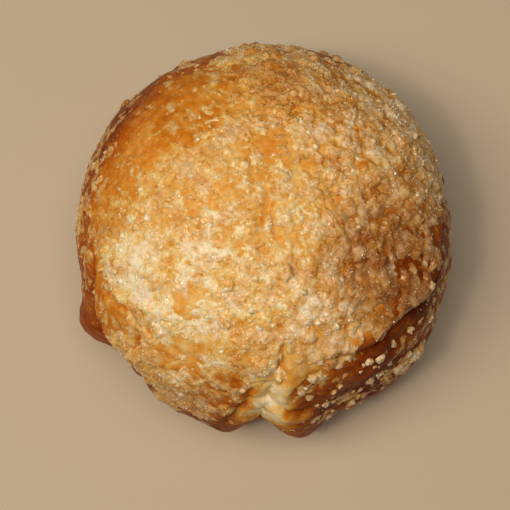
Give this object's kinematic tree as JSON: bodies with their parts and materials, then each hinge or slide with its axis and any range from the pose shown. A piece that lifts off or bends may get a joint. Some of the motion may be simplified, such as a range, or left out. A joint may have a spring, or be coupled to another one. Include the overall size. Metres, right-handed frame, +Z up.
{
  "type": "apple dumpling",
  "caption": "Round baked puff pastry dumpling with tucked flaps, a deep front pleat, a crust of coarse sugar and a flat pressed underside.",
  "frame": {"origin": "middle of the flat underside, on the surface that the dumpling rests on", "axes": "+Z up, -Y towards the main pleat, +X to the right of that pleat"},
  "size_m": [0.0969, 0.1018, 0.0718],
  "materials": {
    "pastry": "egg-washed golden puff pastry, glossy brown at the tucks, crusted with coarse cream sugar"
  },
  "bodies": {
    "root": {"pastry": "pastry"}
  },
  "joints": []
}
